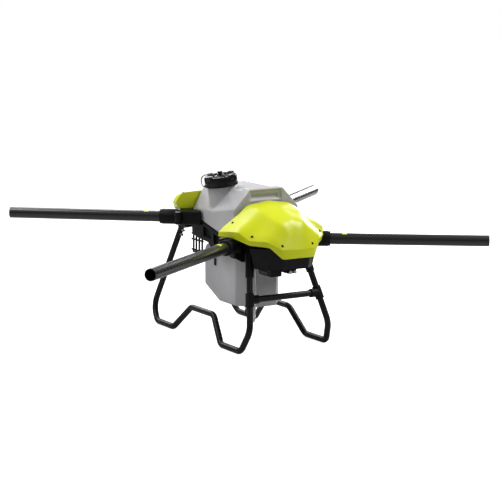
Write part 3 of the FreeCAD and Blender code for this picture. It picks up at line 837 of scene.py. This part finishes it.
def make_sleeve(name, axis, middle):
    """The threaded collar over a fold joint: fluted grip, plain rings at its ends."""
    place = scaled(frame_on(middle, axis))
    work = bmesh.new()
    lathe(work, SLEEVE_PROFILE, place, 72)
    for k in range(SLEEVE_FLUTES):
        turn = Matrix.Rotation(2 * math.pi * k / SLEEVE_FLUTES, 4, "Z")
        add_bar(work, place @ turn, (25.0, -2.2, -21), (27.2, 2.2, 14), 0.9)
    bmesh.ops.remove_doubles(work, verts=work.verts, dist=1e-7)
    node = "locking_sleeve_" + name
    return stands_for(new_piece(node + "_fluted", work, NYLON, 35.0), node)


# ---------------------------------------------------------------- stage, lights, camera
FLOOR_RADIUS = 40


def make_floor():
    work = bmesh.new()
    work.faces.new([work.verts.new((x, y, 0)) for x, y in circle(FLOOR_RADIUS, 64)])
    new_piece("floor", work, floor_paint())


# name, place (m), size (m), power (W); all face the middle of the object
LIGHTS = [
    ("back", (0.2, 3.2, 2.0), (3.0, 1.0), 50),
    ("top_back", (-0.5, 1.8, 3.0), (2.6, 0.7), 30),
    ("back_right", (2.7, 2.0, 1.3), (1.2, 1.4), 42),
    ("high_right", (1.7, -1.0, 3.0), (1.6, 1.2), 66),
    ("high_left", (-2.0, 0.7, 3.0), (1.6, 1.2), 46),
    ("left", (-3.2, 0.6, 2.1), (2.6, 0.45), 12),
    ("front_right", (1.4, -3.4, 2.2), (1.6, 1.0), 14),
]
LIGHTS_AIM = Vector((0, 0, 0.35))
# strength of the surroundings' light at the horizon and overhead
WORLD_LOW, WORLD_HIGH = 0.05, 0.45


def make_lights():
    for name, at, size, power in LIGHTS:
        data = bpy.data.lights.new(name, "AREA")
        data.shape = "RECTANGLE"
        data.size, data.size_y = size
        data.energy = power
        light = bpy.data.objects.new(name, data)
        bpy.context.scene.collection.objects.link(light)
        light.location = at
        light.rotation_mode = "QUATERNION"
        light.rotation_quaternion = (LIGHTS_AIM - Vector(at)).to_track_quat("-Z", "Y")


def make_world():
    """White behind the object; what lights the object is bright overhead and dim at the horizon."""
    world = bpy.data.worlds.new("studio")
    world.use_nodes = True
    tree = world.node_tree
    seen = tree.nodes["Background"]
    seen.inputs["Color"].default_value = (1, 1, 1, 1)
    seen.inputs["Strength"].default_value = 1.0
    lit = tree.nodes.new("ShaderNodeBackground")
    lit.inputs["Color"].default_value = (1, 1, 1, 1)
    towards = tree.nodes.new("ShaderNodeSeparateXYZ")
    view = tree.nodes.new("ShaderNodeTexCoord")
    tree.links.new(view.outputs["Generated"], towards.inputs["Vector"])
    spread = tree.nodes.new("ShaderNodeMapRange")
    spread.inputs["From Min"].default_value = 0.0
    spread.inputs["From Max"].default_value = 0.9
    spread.inputs["To Min"].default_value = WORLD_LOW
    spread.inputs["To Max"].default_value = WORLD_HIGH
    tree.links.new(towards.outputs["Z"], spread.inputs["Value"])
    tree.links.new(spread.outputs["Result"], lit.inputs["Strength"])
    rays = tree.nodes.new("ShaderNodeLightPath")
    mix = tree.nodes.new("ShaderNodeMixShader")
    tree.links.new(rays.outputs["Is Camera Ray"], mix.inputs["Fac"])
    tree.links.new(lit.outputs["Background"], mix.inputs[1])
    tree.links.new(seen.outputs["Background"], mix.inputs[2])
    tree.links.new(mix.outputs["Shader"], tree.nodes["World Output"].inputs["Surface"])
    bpy.context.scene.world = world


def make_camera():
    data = bpy.data.cameras.new("photo_view")
    data.sensor_width = 36.0
    data.lens = CAMERA_LENS
    data.clip_start, data.clip_end = 0.1, 200.0
    camera = bpy.data.objects.new("photo_view", data)
    bpy.context.scene.collection.objects.link(camera)
    look = (CAMERA_TARGET - CAMERA_AT).to_track_quat("-Z", "Y").to_matrix().to_4x4()
    roll = Matrix.Rotation(math.radians(CAMERA_ROLL), 4, "Z")
    camera.matrix_world = Matrix.Translation(CAMERA_AT) @ look @ roll
    bpy.context.scene.camera = camera


# rounding of moulded and cast pieces, by the start of their names (mm)
SOFT_EDGES = {
    "arm_bracket": 2.0,
    "arm_flange": 1.0,
    "side_beam": 2.5,
    "front_bulkhead": 1.0,
    "rear_bulkhead": 1.0,
    "front_lower_shell": 1.2,
    "rear_shell": 1.2,
    "front_leg_socket": 1.5,
    "rear_leg_clamp": 2.0,
    "cross_tube_tees": 1.5,
    "battery_cage": 0.8,
    "pump_head": 1.5,
    "pump_motor": 1.0,
    "saddle_pads": 0.8,
    "flight_controller": 1.0,
    "avionics_tray": 0.6,
    "battery_connector": 0.8,
    "quick_coupler": 1.2,
    "tank_outlet": 0.8,
    "neck_ring": 1.2,
    "hinge_pins": 0.8,
}


def make_materials_and_soft_pieces():
    """Gives every CAD piece its material, and rounds the edges of those that need it."""
    arms = {name: carbon_tube(math.atan2(axis.y, axis.x)) for name, axis, middle in arm_frames()}
    for node, piece in NODES.items():
        material = SLOT_MATERIALS.get(SLOT_OF[node], NYLON)
        if node.startswith("arm_tube_"):
            material = arms[node[len("arm_tube_"):]]
        piece.data.materials.clear()
        piece.data.materials.append(material)
        width = next((w for prefix, w in SOFT_EDGES.items() if node.startswith(prefix)), None)
        if width:
            softened(node, material, width * MM)


make_camera()
make_lights()
make_world()
make_floor()
make_materials_and_soft_pieces()
make_cover("front_cover", FRONT_COVER, FRONT_ACROSS, False)
make_cover("rear_cover", REAR_COVER, REAR_ACROSS, True)
make_screws("front_cover_screws", SCREW_HEAD_RADIUS, Vector((0, -0.25, 0.40)))
make_screws("rear_cover_screws", SCREW_HEAD_RADIUS, Vector((0, 0.22, 0.44)))
make_tank()
make_cap()
make_tether()
for arm_name, arm_axis, sleeve_middle in arm_frames():
    make_sleeve(arm_name, arm_axis, sleeve_middle)
bpy.context.scene.view_settings.view_transform = "Standard"
